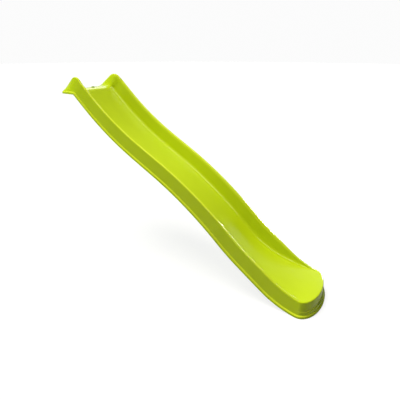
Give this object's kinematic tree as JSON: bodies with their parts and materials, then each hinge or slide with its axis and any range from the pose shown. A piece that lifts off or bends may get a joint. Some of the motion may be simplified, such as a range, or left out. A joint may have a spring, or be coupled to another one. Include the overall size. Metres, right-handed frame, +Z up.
{
  "type": "playground slide",
  "caption": "One-piece moulded wave slide with side walls, a rolled entry lip for a raised deck, a level rounded exit and a garden hose inlet in the lip.",
  "frame": {"origin": "on the ground, under the middle of the slide's length, on its centreline", "axes": "+X points down the slide towards the exit, +Y across it, +Z up"},
  "size_m": [2.3554, 0.54, 1.5232],
  "materials": {
    "slide_plastic": "glossy moulded polyethylene, lime green",
    "nozzle_plastic": "glossy moulded plastic, darker green",
    "seal_rubber": "black sealing rubber",
    "nut_plastic": "fine matt black nylon",
    "connector_plastic": "satin dark grey plastic"
  },
  "bodies": {
    "root": {"chute": "slide_plastic", "inlet_nozzle": "nozzle_plastic", "inlet_gasket": "seal_rubber", "inlet_lock_nut": "nut_plastic", "hose_connector": "connector_plastic", "connector_washer": "seal_rubber", "hose_seal_ring": "seal_rubber"}
  },
  "joints": []
}
